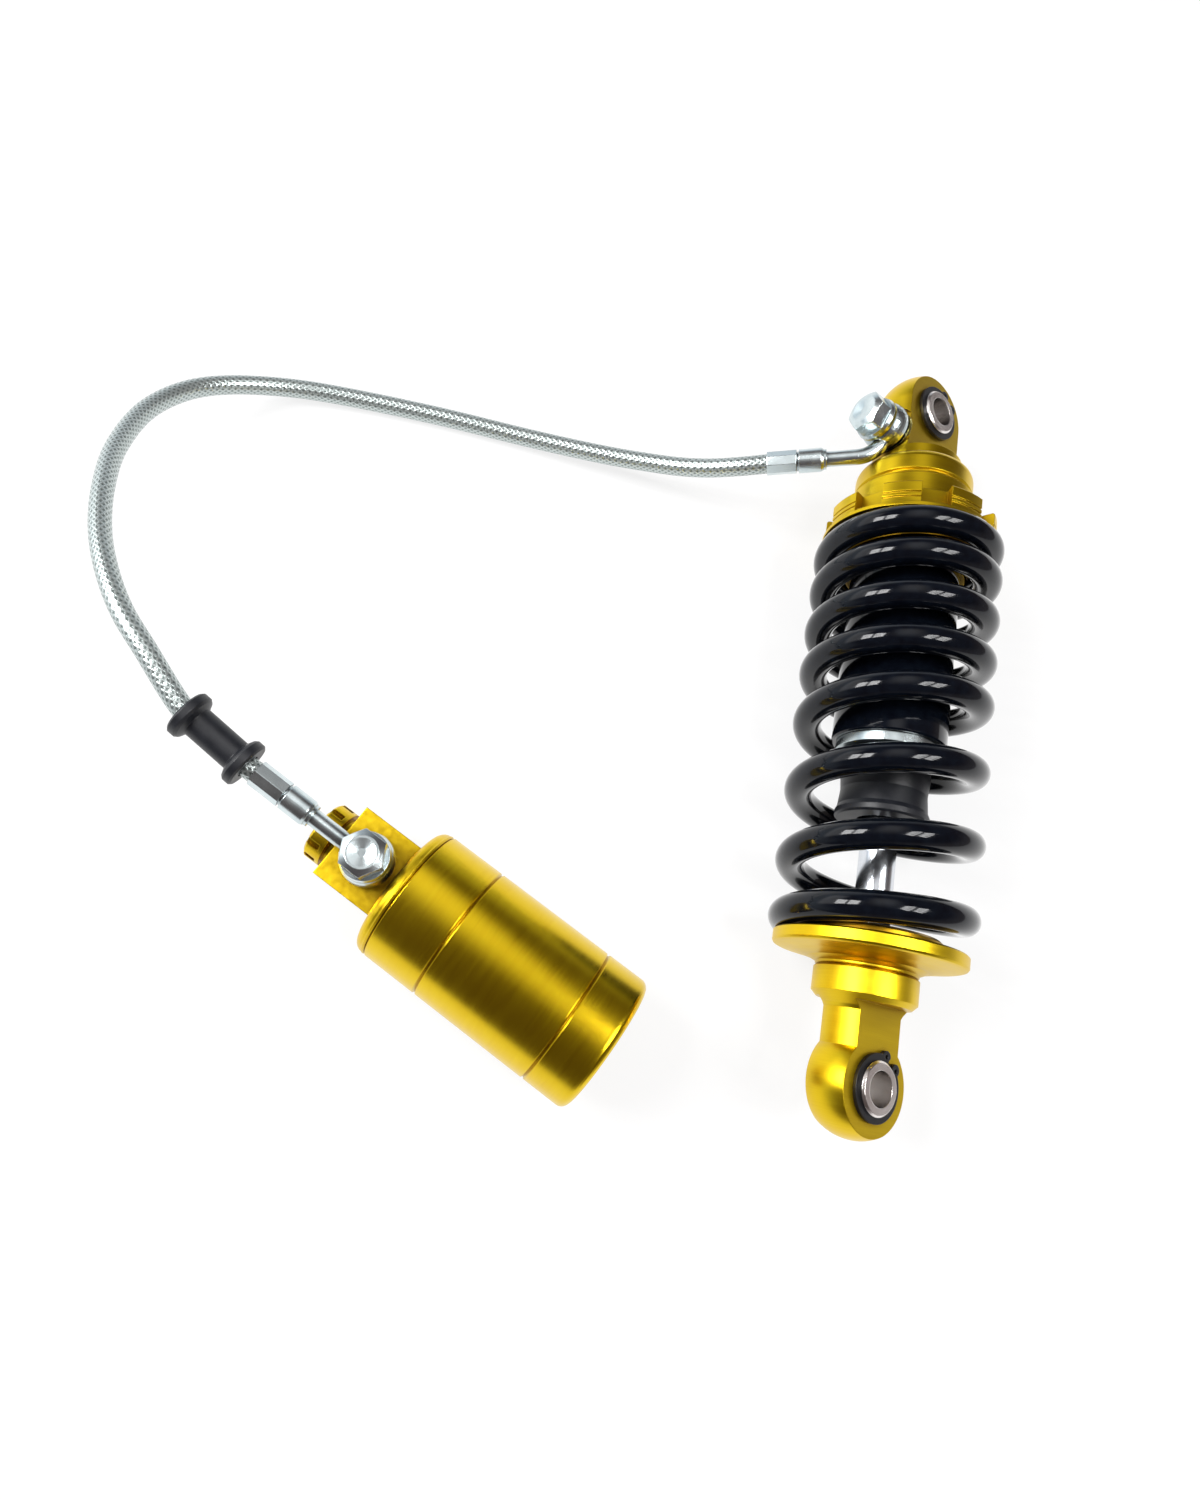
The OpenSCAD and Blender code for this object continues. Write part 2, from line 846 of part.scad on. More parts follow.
module spring() {
    n = spring_rings + 1;
    s = spring_sides;
    points = [for (i = [0:n - 1], k = [0:s - 1])
                 let (p = spring_centre[i],
                      t = tangent(spring_centre, i),
                      u = unit([p.x, 0, p.z]),
                      v = cross(t, u),
                      a = 360 * (k + 0.5) / s)
                 grind(p + wire_d / 2 * (cos(a) * u + sin(a) * v))];
    side_a = [for (i = [0:n - 2], k = [0:s - 1])
                 [i * s + k, (i + 1) * s + k, i * s + (k + 1) % s]];
    side_b = [for (i = [0:n - 2], k = [0:s - 1])
                 [(i + 1) * s + k, (i + 1) * s + (k + 1) % s, i * s + (k + 1) % s]];
    cap_a = [for (k = [1:s - 2]) [0, k, k + 1]];
    cap_b = [for (k = [1:s - 2]) [(n - 1) * s, (n - 1) * s + k + 1, (n - 1) * s + k]];
    color(black)
        polyhedron(points = points, faces = concat(side_a, side_b, cap_a, cap_b));
}

// Damper -----------------------------------------------------------------

module damper_tube() {
    color(black)
        along(tube_y)
            difference() {
                union() {
                    cylinder(d1 = tube_d - 1, d2 = tube_d, h = 0.5);
                    translate([0, 0, 0.5])
                        cylinder(d = tube_d, h = cap_y - 2.1 - tube_y - 0.5);
                }
                translate([0, 0, -1])
                    cylinder(d = tube_bore, h = 200);
            }
}

module seal_head() {
    color(zinc)
        along(gland_y)
            difference() {
                union() {
                    cylinder(d = 32, h = gland_lip - 0.1);
                    cylinder(d = tube_bore - 2 * press_gap, h = 16);
                }
                translate([0, 0, -1])
                    cylinder(d = shaft_d + 2 * run_gap, h = 20);
                translate([0, 0, -1])
                    cylinder(d = shaft_d + 7, h = 4);
                translate([0, 0, 11])
                    cylinder(d = shaft_d + 7, h = 6);
            }
}

module rod_wiper() {
    color(rubber)
        along(gland_y + 0.4)
            tube(shaft_d + 7 - 2 * press_gap, shaft_d + 2 * run_gap, 2.5, small_fn);
}

module rod_seal() {
    color(rubber)
        along(gland_y + 11.1)
            tube(shaft_d + 7 - 2 * press_gap, shaft_d + 2 * run_gap, 4.4, small_fn);
}

module bump_stop() {
    r = bump_d / 2;
    color(rubber)
        along(bump_y)
            rotate_extrude()
                polygon([[shaft_d / 2 + 0.3, 4], [7, 4], [7, 0.6], [7.6, 0], [r, 0],
                         [r + 0.6, 0.6], [r + 0.6, 2.2], [r, 3.6], [r - 0.5, 9],
                         [r, 14], [r, bump_len - 1], [r - 1, bump_len],
                         [shaft_d / 2 + 0.3, bump_len]]);
}

module shaft() {
    color(zinc)
        difference() {
            union() {
                along(collar_y + 2)
                    cylinder(d = shaft_d, h = piston_y - collar_y - 2);
                along(shaft_foot)
                    cylinder(d = foot_d, h = collar_y + 2 - shaft_foot);
                along(piston_y)
                    cylinder(d = stud_d, h = piston_h + piston_nut_h + 0.6);
            }
            along(piston_y - 6)
                cylinder(d = 3, h = 30, $fn = tiny_fn);
        }
}

module piston() {
    color(steel)
        along(piston_y + 0.05)
            difference() {
                cylinder(d = tube_bore - 0.8, h = piston_h);
                translate([0, 0, 2.5])
                    tube(tube_bore + 2, tube_bore - 3, 5);
                translate([0, 0, -1])
                    cylinder(d = stud_d + 0.04, h = piston_h + 4, $fn = small_fn);
                for (k = [0:5])
                    rotate([0, 0, 60 * k])
                        translate([9, 0, -1])
                            cylinder(d = 3.4, h = piston_h + 4, $fn = tiny_fn);
            }
}

module piston_band() {
    color([0.35, 0.30, 0.22])
        along(piston_y + 2.6)
            tube(tube_bore - 2 * run_gap, tube_bore - 2.96, 4.9);
}

module piston_nut() {
    color(zinc)
        along(piston_y + piston_h + 0.1)
            difference() {
                cylinder(d = 13 / cos(30), h = piston_nut_h, $fn = 6);
                translate([0, 0, -1])
                    cylinder(d = stud_d + 0.04, h = piston_nut_h + 2, $fn = small_fn);
            }
}

// Lower end --------------------------------------------------------------

shaft_foot = eye_d / 2 - 1.5;
hub_d = collar_d - 0.6;

module lower_perch() {
    r = perch_d / 2;
    spigot = (coil_d - wire_d) / 2 - 0.4;
    color(gold)
        along(collar_y)
            rotate_extrude()
                polygon([[shaft_d / 2 + 0.4, 0.05], [hub_d / 2 - 0.4, 0.05], [hub_d / 2, 0.45],
                         [hub_d / 2, 1], [hub_d / 2 + 2.4, 2.2], [hub_d / 2 + 7, 3.3],
                         [r - 1.2, 4.2], [r - 0.4, 4.5], [r, 5.1], [r, 8], [r - 0.5, 8.5],
                         [spigot, 8.5], [spigot, 10.7], [spigot - 1, 11.5], [15, 11.5],
                         [15, nut_y - collar_y], [shaft_d / 2 + 0.4, nut_y - collar_y]]);
}

module jam_nut() {
    color(zinc)
        along(nut_y + 0.05)
            difference() {
                intersection() {
                    cylinder(d = 17 / cos(30), h = nut_h, $fn = 6);
                    cylinder(d1 = 21, d2 = 18.4, h = nut_h + 0.6, $fn = small_fn);
                }
                translate([0, 0, -1])
                    cylinder(d = shaft_d + 0.04, h = nut_h + 3);
            }
}

module lower_eye() {
    r = collar_d / 2;
    color(gold)
        difference() {
            union() {
                sphere(d = eye_d);
                along(0)
                    rotate_extrude()
                        polygon([[0, 0], [neck_d / 2, 0], [neck_d / 2, neck_len - 1],
                                 [neck_d / 2 + 0.6, neck_len], [r - 0.6, neck_len + 2.6],
                                 [r, neck_len + 3.2], [r, collar_y - 0.6], [r - 0.6, collar_y],
                                 [0, collar_y]]);
            }
            eye_frame(0)
                eye_cuts(-30, neck_len + 1.6);
            along(shaft_foot - 0.5)
                cylinder(d = foot_d + 0.04, h = 30);
        }
}

module lower_bush() {
    color(rubber)
        eye_frame(0)
            eye_bush();
}

module lower_sleeve() {
    color(steel)
        eye_frame(0)
            eye_sleeve();
}

module lower_circlips() {
    color(black)
        eye_frame(0)
            eye_circlips();
}

top_cap();
damper_tube();
seal_head();
rod_seal();
rod_wiper();
upper_bush();
upper_sleeve();
upper_circlips();
upper_banjo_bolt();
upper_banjo_washers();
upper_banjo_fitting();
hose();
hose_bobbin();
reservoir_banjo_fitting();
reservoir_banjo_bolt();
reservoir_banjo_washers();
reservoir_cap();
cap_o_ring();
reservoir_can();
floating_piston();
floating_o_ring();
reservoir_end_cap();
end_circlip();
gas_valve();
valve_cap();
adjuster_knob();
adjuster_needle();
preload_ring();
upper_seat();
spring();
bump_stop();
shaft();
piston();
piston_band();
piston_nut();
lower_perch();
jam_nut();
lower_eye();
lower_bush();
lower_sleeve();
lower_circlips();
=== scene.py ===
import math

import bpy
from mathutils import Matrix, Vector


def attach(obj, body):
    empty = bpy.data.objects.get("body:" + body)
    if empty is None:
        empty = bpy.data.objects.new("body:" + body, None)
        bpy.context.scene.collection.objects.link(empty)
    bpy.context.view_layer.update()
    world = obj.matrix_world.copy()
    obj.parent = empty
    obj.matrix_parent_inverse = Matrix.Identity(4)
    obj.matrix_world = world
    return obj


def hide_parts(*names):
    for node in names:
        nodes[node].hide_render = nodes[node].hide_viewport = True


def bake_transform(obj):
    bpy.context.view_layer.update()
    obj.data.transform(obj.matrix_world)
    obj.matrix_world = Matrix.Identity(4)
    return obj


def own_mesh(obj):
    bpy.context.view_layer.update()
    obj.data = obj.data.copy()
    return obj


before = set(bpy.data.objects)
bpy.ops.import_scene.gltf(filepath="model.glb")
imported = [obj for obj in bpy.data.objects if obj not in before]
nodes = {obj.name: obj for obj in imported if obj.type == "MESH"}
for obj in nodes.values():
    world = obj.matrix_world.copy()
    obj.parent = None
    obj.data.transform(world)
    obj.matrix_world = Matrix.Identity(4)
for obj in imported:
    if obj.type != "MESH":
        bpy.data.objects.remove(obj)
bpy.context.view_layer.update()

MM = 0.001
scene = bpy.context.scene

# Driving sizes, as in the part's source, in metres
EYE_TO_EYE = 0.226
WIRE_R = 0.0045
COIL_R = 0.02575
SEAT_Y = 0.0401
TOP_SEAT_Y = EYE_TO_EYE - 0.0526
SPRING_LEN = TOP_SEAT_Y - SEAT_Y
COILS = 8.07
HOSE_D = 0.0066
CAN_R = 0.0215
TABLE_Z = -(COIL_R + WIRE_R)
RES_ORIGIN = Vector((-0.1368, 0.0276, TABLE_Z + CAN_R))
RES_ANGLE = math.radians(-25.2)
RES_AXIS = Vector((math.cos(RES_ANGLE), math.sin(RES_ANGLE), 0))
SHOCK_AXIS = Vector((0, 1, 0))

# ---------------------------------------------------------------- camera

IMAGE_W, IMAGE_H = 1200, 1500
CAM_FOCAL_PX = 925.7
CAM_CENTRE = (572.6, 742.3)
CAM_PLACE = Vector((-0.1029, -0.0014, 0.2739))
CAM_RIGHT = Vector((0.9787, 0.1912, 0.0747))
CAM_LOOK = Vector((0.0157, 0.2930, -0.9560))
SENSOR = 36.0

cam_data = bpy.data.cameras.new("camera")
cam = bpy.data.objects.new("camera", cam_data)
scene.collection.objects.link(cam)
back = -CAM_LOOK.normalized()
right = (CAM_RIGHT - CAM_RIGHT.dot(back) * back).normalized()
up = back.cross(right)
cam.matrix_world = Matrix.Translation(CAM_PLACE) @ Matrix((right, up, back)).transposed().to_4x4()
cam_data.sensor_width = SENSOR
cam_data.sensor_fit = "AUTO"
cam_data.lens = CAM_FOCAL_PX / IMAGE_H * SENSOR
cam_data.shift_x = (IMAGE_W / 2 - CAM_CENTRE[0]) / IMAGE_H
cam_data.shift_y = (CAM_CENTRE[1] - IMAGE_H / 2) / IMAGE_H
cam_data.clip_start = 0.01
scene.camera = cam

# ---------------------------------------------------------------- shapes


def new_object(name, verts, faces):
    mesh = bpy.data.meshes.new(name)
    mesh.from_pydata([tuple(v) for v in verts], [], faces)
    mesh.validate()
    mesh.update()
    obj = bpy.data.objects.new(name, mesh)
    scene.collection.objects.link(obj)
    for p in mesh.polygons:
        p.use_smooth = True
    return obj


def curve_at(points, i, t):
    def at(k):
        return points[max(0, min(len(points) - 1, k))]

    a, b, c, d = at(i - 1), at(i), at(i + 1), at(i + 2)
    return 0.5 * (
        2 * b
        + (c - a) * t
        + (2 * a - 5 * b + 4 * c - d) * t * t
        + (3 * b - a - 3 * c + d) * t * t * t
    )


def smooth_path(points, steps):
    out = [
        curve_at(points, i, k / steps) for i in range(len(points) - 1) for k in range(steps)
    ]
    return out + [points[-1]]


def swept(name, path, ring_points):
    """A tube along path; ring_points(side, up) gives the ring's points."""
    tangents = []
    for i in range(len(path)):
        a, b = path[max(0, i - 1)], path[min(len(path) - 1, i + 1)]
        tangents.append((b - a).normalized())
    normal = tangents[0].cross(Vector((0, 0, 1))).normalized()
    verts, rings = [], []
    for i, p in enumerate(path):
        normal = (normal - normal.dot(tangents[i]) * tangents[i]).normalized()
        ring = ring_points(normal, tangents[i].cross(normal))
        rings.append(range(len(verts), len(verts) + len(ring)))
        verts += [p + q for q in ring]
    faces = []
    for r, s in zip(rings, rings[1:]):
        n = len(r)
        faces += [(r[k], r[(k + 1) % n], s[(k + 1) % n], s[k]) for k in range(n)]
    faces += [tuple(reversed(rings[0])), tuple(rings[-1])]
    return new_object(name, verts, faces)


# ---------------------------------------------------------------- hose

HOSE_ROUTE = [
    Vector(p) * MM
    for p in (
        (-45.5, 198.2, -0.8), (-51.2, 197.6, -2.8), (-59.8, 196.6, -6), (-69.7, 196.5, -10.5),
        (-80, 197.2, -14.5), (-92.7, 198.8, -18.5), (-109.4, 200.5, -22), (-136.2, 203.1, -25.5),
        (-171, 205, -26.6), (-205.1, 204.6, -26.2), (-226.6, 201.7, -24), (-245, 193.6, -18),
        (-255.7, 182.7, -11), (-261, 166.2, -2), (-259.7, 145.2, 8), (-254.1, 126.3, 16),
        (-247.4, 110.3, 21), (-239.4, 97, 24.5), (-230.6, 85.5, 26), (-220.9, 75.8, 25.3),
        (-207.3, 62.3, 21.4), (-197.5, 56.9, 19), (-186.7, 51, 16.4), (-183.9, 49.7, 15.8),
        (-178.8, 47.3, 14.9),
    )
]
HOSE_STEPS = 12
hose_path = smooth_path(HOSE_ROUTE, HOSE_STEPS)
HOSE_SIDES = 32


def hose_ring(side, upward):
    ring = []
    for k in range(HOSE_SIDES):
        a = 2 * math.pi * k / HOSE_SIDES
        ring.append((side * math.cos(a) + upward * math.sin(a)) * HOSE_D / 2)
    return ring


hose = swept("braided_hose", hose_path, hose_ring)
uv = hose.data.uv_layers.new(name="UVMap")
distances = [0.0]
for a, b in zip(hose_path, hose_path[1:]):
    distances.append(distances[-1] + (b - a).length)
for poly in hose.data.polygons:
    for loop_index in poly.loop_indices:
        v = hose.data.loops[loop_index].vertex_index
        ring, k = divmod(v, HOSE_SIDES)
        if k == 0 and any(
            hose.data.loops[j].vertex_index % HOSE_SIDES == HOSE_SIDES - 1
            for j in poly.loop_indices
        ):
            k = HOSE_SIDES
        uv.data[loop_index].uv = (k / HOSE_SIDES, distances[ring])
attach(hose, "damper_body")
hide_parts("hose")

# ---------------------------------------------------------------- materials


class Nodes:
    """Small helper to build a node tree."""

    def __init__(self, name):
        self.mat = bpy.data.materials.new(name)
        self.mat.use_nodes = True
        self.tree = self.mat.node_tree
        self.bsdf = self.tree.nodes["Principled BSDF"]

    def add(self, kind, **values):
        node = self.tree.nodes.new(kind)
        for key, value in values.items():
            setattr(node, key, value)
        return node

    def link(self, a, b):
        self.tree.links.new(a, b)

    def math(self, operation, a, b=None, c=None):
        node = self.add("ShaderNodeMath", operation=operation)
        for i, value in enumerate((a, b, c)):
            if value is None:
                continue
            if isinstance(value, (int, float)):
                node.inputs[i].default_value = value
            else:
                self.link(value, node.inputs[i])
        return node.outputs[0]

    def noise(self, vector, scale, detail):
        node = self.add("ShaderNodeTexNoise")
        node.inputs["Scale"].default_value = scale
        node.inputs["Detail"].default_value = detail
        self.link(vector, node.inputs["Vector"])
        return node.outputs["Fac"]

    def position(self):
        return self.add("ShaderNodeTexCoord").outputs["Object"]

    def axis_frame(self, axis, origin=(0, 0, 0)):
        """Position turned so that local X runs along axis."""
        turn = Vector(axis).rotation_difference(Vector((1, 0, 0))).to_euler()
        shift = self.add("ShaderNodeVectorMath", operation="SUBTRACT")
        self.link(self.position(), shift.inputs[0])
        shift.inputs[1].default_value = origin
        rotate = self.add("ShaderNodeVectorRotate", rotation_type="EULER_XYZ")
        self.link(shift.outputs[0], rotate.inputs["Vector"])
        rotate.inputs["Rotation"].default_value = turn
        return rotate.outputs[0]

    def stretch(self, vector, scale):
        node = self.add("ShaderNodeVectorMath", operation="MULTIPLY")
        self.link(vector, node.inputs[0])
        node.inputs[1].default_value = scale
        return node.outputs[0]

    def ramp(self, value, stops):
        node = self.add("ShaderNodeValToRGB")
        ramp = node.color_ramp
        while len(ramp.elements) < len(stops):
            ramp.elements.new(0.5)
        for element, (place, color) in zip(ramp.elements, stops):
            element.position = place
            element.color = (*color, 1) if len(color) == 3 else color
        self.link(value, node.inputs[0])
        return node.outputs[0]

    def map(self, value, low, high):
        node = self.add("ShaderNodeMapRange")
        self.link(value, node.inputs[0])
        node.inputs[3].default_value = low
        node.inputs[4].default_value = high
        return node.outputs[0]

    def bump(self, height, strength, distance, normal=None):
        node = self.add("ShaderNodeBump")
        node.inputs["Strength"].default_value = strength
        node.inputs["Distance"].default_value = distance
        self.link(height, node.inputs["Height"])
        if normal is not None:
            self.link(normal, node.inputs["Normal"])
        return node.outputs[0]

    def with_painted_shade(self, color, shade_color, reach=0.009, power=1.2):
        """Painted shade: colour that falls to the given shade colour in grooves and under other
        pieces.
        """
        node = self.add("ShaderNodeAmbientOcclusion", samples=8)
        node.inputs["Distance"].default_value = reach
        open_share = self.math("POWER", node.outputs["AO"], power)
        mix = self.add("ShaderNodeMix", data_type="RGBA")
        self.link(open_share, mix.inputs[0])
        mix.inputs[6].default_value = (*shade_color, 1)
        self.link(color, mix.inputs[7])
        return mix.outputs[2]

    def rounded(self, radius):
        node = self.add("ShaderNodeBevel", samples=6)
        node.inputs["Radius"].default_value = radius
        return node.outputs[0]

    def set(self, **values):
        for key, value in values.items():
            socket = self.bsdf.inputs[key.replace("_", " ")]
            if isinstance(value, bpy.types.NodeSocket):
                self.link(value, socket)
            else:
                socket.default_value = value


GOLD = (0.84, 0.60, 0.018)
GOLD_DARK = (0.74, 0.49, 0.012)
# dark orange painted shade for gold in grooves and under other pieces
GOLD_PAINTED_SHADE = (0.20, 0.085, 0.006)


def turned_metal(name, axis, color, dark, rough, anisotropic=0.5, marks=0.12, origin=(0, 0, 0),
                 edge=0.0003, fineness=5200, shade_color=GOLD_PAINTED_SHADE):
    """Metal turned on a lathe: fine marks run round the axis."""
    n = Nodes(name)
    local = n.axis_frame(axis, origin)
    fine = n.noise(n.stretch(local, (fineness, 90, 90)), 1.0, 2.0)
    broad = n.noise(n.stretch(local, (420, 30, 30)), 1.0, 2.0)
    patches = n.noise(n.position(), 60, 4.0)
    streaks = n.math("MULTIPLY_ADD", fine, 0.6, n.math("MULTIPLY", broad, 0.4))
    tint = n.ramp(n.math("MULTIPLY_ADD", patches, 0.35, n.math("MULTIPLY", streaks, 0.65)),
                  ((0.3, dark), (0.7, color)))
    # base colour carries painted shade in grooves and under other pieces
    n.set(Base_Color=n.with_painted_shade(tint, shade_color), Metallic=1.0,
          Roughness=n.map(streaks, rough * 0.75, rough * 1.25), Anisotropic=anisotropic,
          Normal=n.bump(streaks, marks, 0.00006, n.rounded(edge)))
    tangent = n.add("ShaderNodeVectorMath", operation="CROSS_PRODUCT")
    geometry = n.add("ShaderNodeNewGeometry")
    n.link(geometry.outputs["Normal"], tangent.inputs[0])
    # a hair off the axis, so that a flat end face still has a tangent
    tangent.inputs[1].default_value = tuple(Vector(axis) + Vector((0.002, 0.001, 0.003)))
    n.link(tangent.outputs[0], n.bsdf.inputs["Tangent"])
    return n.mat


def plain_metal(name, color, dark, rough, edge=0.0003, cloud=140, bump=0.05,
                pit_scale=2600, shade_color=(0.05, 0.05, 0.05)):
    """Plated or tumbled metal with cloudy roughness and small pits."""
    n = Nodes(name)
    cloud_value = n.noise(n.position(), cloud, 5.0)
    pits = n.noise(n.position(), pit_scale, 2.0)
    tint = n.ramp(cloud_value, ((0.3, dark), (0.7, color)))
    # base colour carries painted shade in grooves, bores and under other pieces
    n.set(Base_Color=n.with_painted_shade(tint, shade_color), Metallic=1.0,
          Roughness=n.map(cloud_value, rough * 0.7, rough * 1.35),
          Normal=n.bump(pits, bump, 0.00005, n.rounded(edge)))
    return n.mat


def moulded(name, color, light, rough, edge=0.0003, grain=1800, bump=0.15):
    """Rubber or plastic with a fine mould grain and a little dust."""
    n = Nodes(name)
    dust = n.noise(n.position(), 220, 6.0)
    grain_value = n.noise(n.position(), grain, 3.0)
    n.set(Base_Color=n.ramp(dust, ((0.35, color), (0.8, light))),
          Roughness=n.map(dust, rough * 0.85, rough * 1.15),
          Normal=n.bump(grain_value, bump, 0.00008, n.rounded(edge)))
    return n.mat


# every turned and plain metal below has painted shade in grooves and under other pieces, falling
# to its shade colour
gold_shock = turned_metal("gold_turned_shock", SHOCK_AXIS, GOLD, GOLD_DARK, 0.31)
gold_res = turned_metal("gold_turned_reservoir", RES_AXIS, GOLD, GOLD_DARK, 0.24,
                        marks=0.3, origin=tuple(RES_ORIGIN), fineness=2400)
gold_block = plain_metal("gold_milled", GOLD, GOLD_DARK, 0.34, edge=0.0004, cloud=500,
                         bump=0.4, pit_scale=900, shade_color=GOLD_PAINTED_SHADE)
zinc = plain_metal("zinc_plate", (0.76, 0.84, 0.85), (0.60, 0.69, 0.71), 0.25,
                   shade_color=(0.14, 0.17, 0.18))
polished = plain_metal("polished_steel", (0.95, 0.91, 0.88), (0.80, 0.74, 0.71), 0.24)
yellow_zinc = plain_metal("yellow_passivate", (0.72, 0.66, 0.18), (0.50, 0.46, 0.14), 0.25)
chrome = turned_metal("hard_chrome", SHOCK_AXIS, (0.78, 0.80, 0.83), (0.66, 0.70, 0.75), 0.20,
                      anisotropic=0.3, marks=0.03, shade_color=(0.10, 0.11, 0.13))
rubber = moulded("black_rubber", (0.004, 0.005, 0.008), (0.010, 0.011, 0.015), 0.42)
polymer = moulded("black_polymer", (0.003, 0.0035, 0.005), (0.008, 0.008, 0.010), 0.34)
tan_polymer = moulded("tan_polymer", (0.20, 0.14, 0.08), (0.28, 0.2, 0.12), 0.5)


def powder_coat():
    n = Nodes("gloss_black_coat")
    peel = n.noise(n.position(), 420, 3.0)
    fine = n.noise(n.position(), 3000, 2.0)
    n.set(Base_Color=n.ramp(peel, ((0.3, (0.0015, 0.002, 0.004)), (0.7, (0.003, 0.0045, 0.008)))),
          Roughness=n.map(fine, 0.10, 0.16),
          Normal=n.bump(peel, 0.12, 0.0001, n.rounded(0.0002)))
    n.bsdf.inputs["Specular IOR Level"].default_value = 0.12
    n.bsdf.inputs["Coat Weight"].default_value = 1.0
    n.bsdf.inputs["Coat IOR"].default_value = 1.28
    n.bsdf.inputs["Coat Roughness"].default_value = 0.04
    return n.mat


black_coat = powder_coat()


def braided():
    """Woven wire: two sets of crossing strands under a clear cover."""
    n = Nodes("steel_braid")
    uv_node = n.add("ShaderNodeUVMap", uv_map="UVMap")
    split = n.add("ShaderNodeSeparateXYZ")
    n.link(uv_node.outputs[0], split.inputs[0])
    around = n.math("MULTIPLY", split.outputs[0], 12.0)
    along = n.math("MULTIPLY", split.outputs[1], 420.0)
    waves = []
    for sign in (1, -1):
        lead = n.math("MULTIPLY_ADD", along, sign, around)
        wave = n.math("SINE", n.math("MULTIPLY", lead, 2 * math.pi))
        waves.append(wave)
    over = n.math("MAXIMUM", waves[0], waves[1])
    height = n.math("MULTIPLY_ADD", over, 0.5, 0.5)
    # painted shade in the valleys between strands, lighter on the strand crests
    shade = n.ramp(height, ((0.1, (0.20, 0.24, 0.23)), (0.55, (0.38, 0.43, 0.42)),
                            (0.95, (0.56, 0.62, 0.61))))
    n.set(Base_Color=shade, Metallic=0.85, Roughness=0.34,
          Normal=n.bump(height, 0.35, 0.0003))
    n.bsdf.inputs["Coat Weight"].default_value = 0.35
    n.bsdf.inputs["Coat Roughness"].default_value = 0.2
    return n.mat


def paint(obj, material):
    obj.data.materials.clear()
    obj.data.materials.append(material)
    for p in obj.data.polygons:
        p.material_index = 0


paint(hose, braided())

finish = {
    gold_shock: ("top_cap", "preload_ring", "upper_seat", "lower_perch", "lower_eye"),
    gold_res: ("reservoir_can", "reservoir_end_cap", "adjuster_knob"),
    gold_block: ("reservoir_cap",),
    black_coat: ("damper_tube",),
    zinc: ("upper_banjo_bolt", "upper_banjo_fitting", "reservoir_banjo_fitting",
           "reservoir_banjo_bolt", "jam_nut", "piston_nut", "seal_head"),
    polished: ("upper_sleeve", "lower_sleeve", "floating_piston", "end_circlip", "gas_valve",
               "adjuster_needle", "piston"),
    yellow_zinc: ("upper_banjo_washers", "reservoir_banjo_washers"),
    chrome: ("shaft",),
    rubber: ("bump_stop", "hose_bobbin", "rod_seal", "rod_wiper", "cap_o_ring",
             "floating_o_ring"),
    polymer: ("upper_bush", "lower_bush", "upper_circlips", "lower_circlips", "valve_cap"),
    tan_polymer: ("piston_band",),
}
for material, names in finish.items():
    for name in names:
        paint(nodes[name], material)

# ---------------------------------------------------------------- spring

OPEN_PITCH, TIGHT_PITCH, END_PITCH = 0.0228, 0.0148, 0.011
TIP_SINK = 0.0006
SPRING_STEPS = 60
SPRING_SIDES = 28
SEAT_CLEAR = 0.00005
SPLIT_Y = 0.138
START_ANGLE = math.radians(-10)
PITCH_PLAN = (
    (0, END_PITCH), (0.66, END_PITCH), (1.06, OPEN_PITCH), (3.62, OPEN_PITCH),
    (3.87, TIGHT_PITCH), (6.62, TIGHT_PITCH), (6.97, END_PITCH), (COILS, END_PITCH),
)


def pitch_at(turn):
    for (t0, p0), (t1, p1) in zip(PITCH_PLAN, PITCH_PLAN[1:]):
        if turn <= t1:
            return p0 + (p1 - p0) * (turn - t0) / (t1 - t0)
    return END_PITCH


spring_rings = round(COILS * SPRING_STEPS)
step = COILS / spring_rings
rise = [0.0]
for i in range(spring_rings):
    rise.append(rise[-1] + step * pitch_at((i + 0.5) * step))
stretch = (SPRING_LEN + 2 * TIP_SINK) / rise[-1]
centres = []
for i, y in enumerate(rise):
    angle = START_ANGLE - 2 * math.pi * i * step
    centres.append(
        Vector((COIL_R * math.cos(angle), SEAT_Y - TIP_SINK + y * stretch,
                COIL_R * math.sin(angle)))
    )


def spring_piece(name, first, last):
    verts, faces = [], []
    for i in range(first, last + 1):
        p = centres[i]
        t = (centres[min(i + 1, spring_rings)] - centres[max(i - 1, 0)]).normalized()
        u = Vector((p.x, 0, p.z)).normalized()
        v = t.cross(u)
        for k in range(SPRING_SIDES):
            a = 2 * math.pi * (k + 0.5) / SPRING_SIDES
            q = p + (u * math.cos(a) + v * math.sin(a)) * WIRE_R
            q.y = max(SEAT_Y + SEAT_CLEAR, min(TOP_SEAT_Y - SEAT_CLEAR, q.y))
            verts.append(q)
    count = last - first + 1
    n = SPRING_SIDES
    for i in range(count - 1):
        for k in range(n):
            faces.append((i * n + k, (i + 1) * n + k, (i + 1) * n + (k + 1) % n,
                          i * n + (k + 1) % n))
    faces.append(tuple(range(n)))
    faces.append(tuple(reversed(range((count - 1) * n, count * n))))
    obj = new_object(name, verts, faces)
    paint(obj, black_coat)
    return obj


split_ring = min(
    range(spring_rings),
    key=lambda i: abs(centres[i].y - SPLIT_Y) + 2 * abs(centres[i].z + COIL_R),
)
spring_low = spring_piece("spring_lower_coils", 0, split_ring)
spring_top = spring_piece("spring_upper_coils", split_ring, spring_rings)
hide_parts("spring")
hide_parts("spring")
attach(spring_low, "damper_body")
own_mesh(spring_low)
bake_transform(spring_top)

# ---------------------------------------------------------------- floor and light

